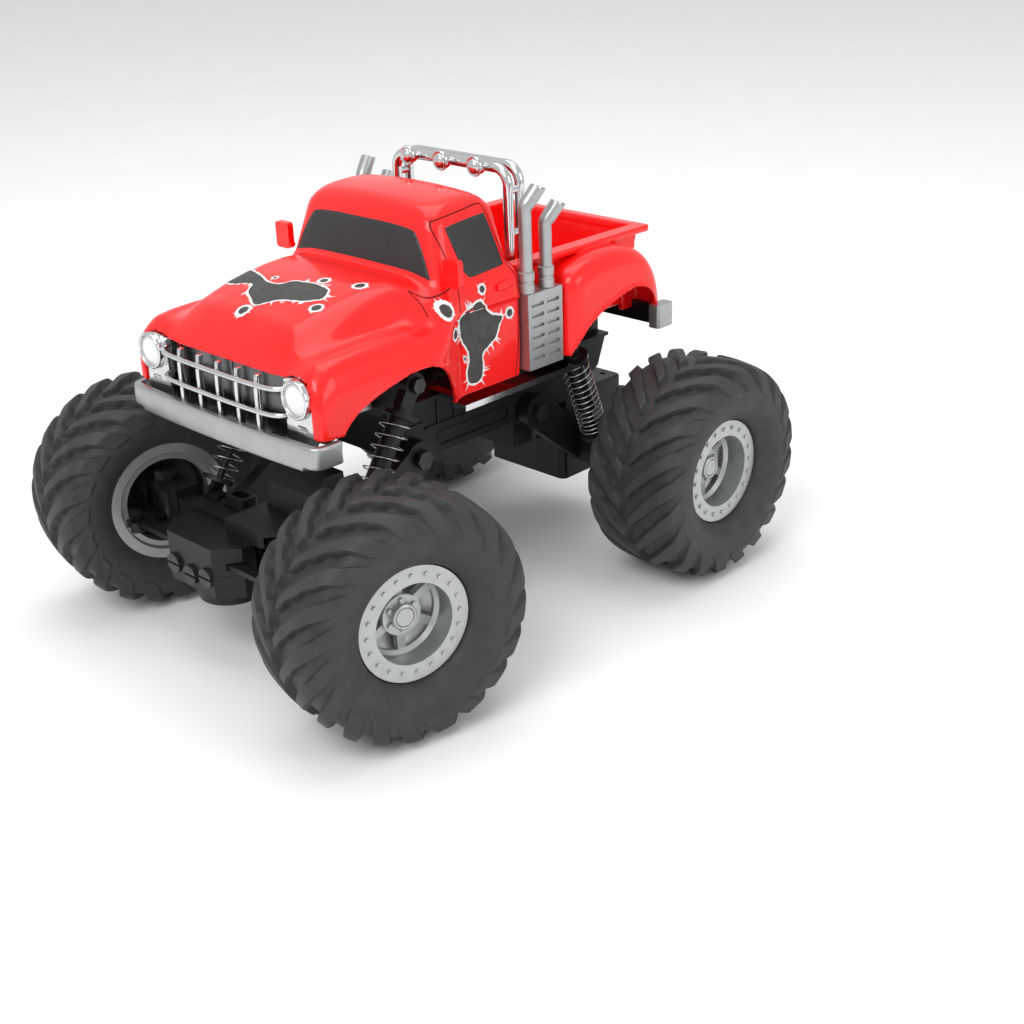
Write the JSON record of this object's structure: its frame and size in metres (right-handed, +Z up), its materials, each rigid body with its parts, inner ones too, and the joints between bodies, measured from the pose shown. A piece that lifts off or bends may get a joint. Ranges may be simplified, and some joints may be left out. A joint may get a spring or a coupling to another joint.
{
  "type": "rc monster truck",
  "caption": "Radio-controlled toy monster truck: pickup body, sprung live axles with coil-over shocks, steered front wheels and geared rear drive.",
  "frame": {"origin": "on the ground under the middle of the truck's bounding box", "axes": "+Z up, -Y forwards, +X towards the truck's left side"},
  "size_m": [0.234, 0.286, 0.1918],
  "materials": {
    "red_body": "glossy moulded red plastic",
    "black_glazing": "glossy black glazing insert",
    "chrome_trim": "vacuum-plated chrome on plastic",
    "satin_silver": "satin silver paint on plastic",
    "clear_lens": "milky clear ribbed lens",
    "tyre_rubber": "matte dark grey rubber",
    "wheel_silver": "silver painted plastic",
    "black_plastic": "black moulded plastic, slight sheen",
    "spring_steel": "bare spring wire",
    "steel_shaft": "ground steel rod",
    "motor_can": "zinc-plated steel can",
    "brass_gear": "cut brass",
    "white_gear": "natural nylon",
    "cell_wrap": "plain printed sleeve, no lettering",
    "board_green": "green solder mask"
  },
  "bodies": {
    "chassis": {"battery_cells": "cell_wrap", "battery_door": "black_plastic", "bumper_caps": "satin_silver", "cab_shell": "red_body", "cargo_bed": "red_body", "chassis_frame": "black_plastic", "circuit_board": "board_green", "exhaust_stacks_left": "satin_silver", "exhaust_stacks_right": "satin_silver", "front_bumper": "satin_silver", "grille": "chrome_trim", "headlamp_bezels": "chrome_trim", "headlamp_lenses": "clear_lens", "heat_shields": "satin_silver", "mirrors": "red_body", "pivot_screws": "black_plastic", "rear_bumper": "black_plastic", "rear_window": "black_glazing", "roll_bar": "chrome_trim", "running_boards": "chrome_trim", "side_windows": "black_glazing", "spot_lamps": "chrome_trim", "windshield": "black_glazing"},
    "power_switch": {"power_switch": "black_plastic"},
    "front_axle": {"front_axle_case": "black_plastic", "front_axle_cover": "black_plastic", "case_screws": "black_plastic", "steering_motor": "motor_can"},
    "rear_axle": {"rear_axle_case": "black_plastic", "rear_axle_cover": "black_plastic", "drive_motor": "motor_can"},
    "tie_rod": {"tie_rod": "black_plastic"},
    "knuckle_left": {"knuckle_left": "black_plastic"},
    "front_wheel_left": {"tyre_front_left": "tyre_rubber", "rim_front_left": "wheel_silver"},
    "knuckle_right": {"knuckle_right": "black_plastic"},
    "front_wheel_right": {"tyre_front_right": "tyre_rubber", "rim_front_right": "wheel_silver"},
    "rear_wheels": {"tyre_rear_left": "tyre_rubber", "tyre_rear_right": "tyre_rubber", "rim_rear_left": "wheel_silver", "rim_rear_right": "wheel_silver", "axle_shaft": "steel_shaft", "axle_gear": "white_gear"},
    "reduction_gear": {"reduction_gear": "white_gear"},
    "motor_pinion": {"motor_pinion": "brass_gear"},
    "shock_body_front_left": {"shock_body_front_left": "black_plastic", "spring_front_left": "spring_steel"},
    "shock_rod_front_left": {"shock_rod_front_left": "black_plastic"},
    "shock_body_front_right": {"shock_body_front_right": "black_plastic", "spring_front_right": "spring_steel"},
    "shock_rod_front_right": {"shock_rod_front_right": "black_plastic"},
    "shock_body_rear_left": {"shock_body_rear_left": "black_plastic", "spring_rear_left": "spring_steel"},
    "shock_rod_rear_left": {"shock_rod_rear_left": "black_plastic"},
    "shock_body_rear_right": {"shock_body_rear_right": "black_plastic", "spring_rear_right": "spring_steel"},
    "shock_rod_rear_right": {"shock_rod_rear_right": "black_plastic"}
  },
  "joints": [
    {"name": "front_suspension", "type": "hinge", "parent": "chassis", "child": "front_axle", "pos_m": [0, -0.0275, 0.077], "axis": [-1, 0, 0], "range_deg": [0, 4.5], "stiffness_Nm_per_rad": 4, "springref_deg": -6.88},
    {"name": "rear_suspension", "type": "hinge", "parent": "chassis", "child": "rear_axle", "pos_m": [0, 0.0445, 0.077], "axis": [1, 0, 0], "range_deg": [0, 7], "stiffness_Nm_per_rad": 4, "springref_deg": -6.88},
    {"name": "power_switch_slide", "type": "slide", "parent": "chassis", "child": "power_switch", "axis": [1, 0, 0], "range_m": [0, 0.0024]},
    {"name": "front_left_shock_tilt", "type": "hinge", "parent": "chassis", "child": "shock_body_front_left", "pos_m": [0.0445, -0.038, 0.115], "axis": [1, 0, 0], "range_deg": [-3.06, 0]},
    {"name": "front_left_shock_stroke", "type": "slide", "parent": "shock_body_front_left", "child": "shock_rod_front_left", "axis": [0, 0.5547, 0.8321], "range_m": [0, 0.00251], "deforming": ["spring_front_left"]},
    {"name": "front_right_shock_tilt", "type": "hinge", "parent": "chassis", "child": "shock_body_front_right", "pos_m": [-0.0445, -0.038, 0.115], "axis": [1, 0, 0], "range_deg": [-3.06, 0]},
    {"name": "front_right_shock_stroke", "type": "slide", "parent": "shock_body_front_right", "child": "shock_rod_front_right", "axis": [0, 0.5547, 0.8321], "range_m": [0, 0.00251], "deforming": ["spring_front_right"]},
    {"name": "rear_left_shock_tilt", "type": "hinge", "parent": "chassis", "child": "shock_body_rear_left", "pos_m": [0.0435, 0.0549, 0.11], "axis": [1, 0, 0], "range_deg": [0, 4.02]},
    {"name": "rear_left_shock_stroke", "type": "slide", "parent": "shock_body_rear_left", "child": "shock_rod_rear_left", "axis": [0, -0.3526, 0.9358], "range_m": [0, 0.00286], "deforming": ["spring_rear_left"]},
    {"name": "rear_right_shock_tilt", "type": "hinge", "parent": "chassis", "child": "shock_body_rear_right", "pos_m": [-0.0435, 0.0549, 0.11], "axis": [1, 0, 0], "range_deg": [0, 4.02]},
    {"name": "rear_right_shock_stroke", "type": "slide", "parent": "shock_body_rear_right", "child": "shock_rod_rear_right", "axis": [0, -0.3526, 0.9358], "range_m": [0, 0.00286], "deforming": ["spring_rear_right"]},
    {"name": "steer_left", "type": "hinge", "parent": "front_axle", "child": "knuckle_left", "pos_m": [0.066, -0.087, 0.05], "axis": [0, 0, 1], "range_deg": [-4, 28]},
    {"name": "steer_right", "type": "hinge", "parent": "front_axle", "child": "knuckle_right", "pos_m": [-0.066, -0.087, 0.05], "axis": [0, 0, 1], "range_deg": [-4, 28]},
    {"name": "tie_rod_slide", "type": "slide", "parent": "front_axle", "child": "tie_rod", "axis": [1, 0, 0], "range_m": [-0.0013, 0.0088]},
    {"name": "front_wheel_left_spin", "type": "hinge", "parent": "knuckle_left", "child": "front_wheel_left", "pos_m": [0.08458, -0.09095, 0.05], "axis": [0.9781, -0.2079, 0], "continuous": true},
    {"name": "front_wheel_right_spin", "type": "hinge", "parent": "knuckle_right", "child": "front_wheel_right", "pos_m": [-0.08458, -0.08305, 0.05], "axis": [0.9781, -0.2079, 0], "continuous": true},
    {"name": "rear_axle_spin", "type": "hinge", "parent": "rear_axle", "child": "rear_wheels", "pos_m": [0, 0.093, 0.05], "axis": [1, 0, 0], "continuous": true},
    {"name": "reduction_gear_spin", "type": "hinge", "parent": "rear_axle", "child": "reduction_gear", "pos_m": [0, 0.10436, 0.06136], "axis": [1, 0, 0], "continuous": true},
    {"name": "motor_pinion_spin", "type": "hinge", "parent": "rear_axle", "child": "motor_pinion", "pos_m": [0, 0.09537, 0.06376], "axis": [1, 0, 0], "continuous": true}
  ],
  "couplings": [
    {"joint": "front_left_shock_tilt", "follows": "front_suspension", "ratio": -0.64716},
    {"joint": "front_left_shock_stroke", "follows": "front_suspension", "m_per_rad": 0.030456},
    {"joint": "front_right_shock_tilt", "follows": "front_suspension", "ratio": -0.64716},
    {"joint": "front_right_shock_stroke", "follows": "front_suspension", "m_per_rad": 0.030456},
    {"joint": "rear_left_shock_tilt", "follows": "rear_suspension", "ratio": 0.54737},
    {"joint": "rear_left_shock_stroke", "follows": "rear_suspension", "m_per_rad": 0.02226},
    {"joint": "rear_right_shock_tilt", "follows": "rear_suspension", "ratio": 0.54737},
    {"joint": "rear_right_shock_stroke", "follows": "rear_suspension", "m_per_rad": 0.02226},
    {"joint": "steer_right", "follows": "steer_left", "ratio": 1},
    {"joint": "tie_rod_slide", "follows": "steer_left", "m_per_rad": 0.0178},
    {"joint": "reduction_gear_spin", "follows": "rear_axle_spin", "ratio": -3},
    {"joint": "motor_pinion_spin", "follows": "rear_axle_spin", "ratio": 9.3333}
  ]
}
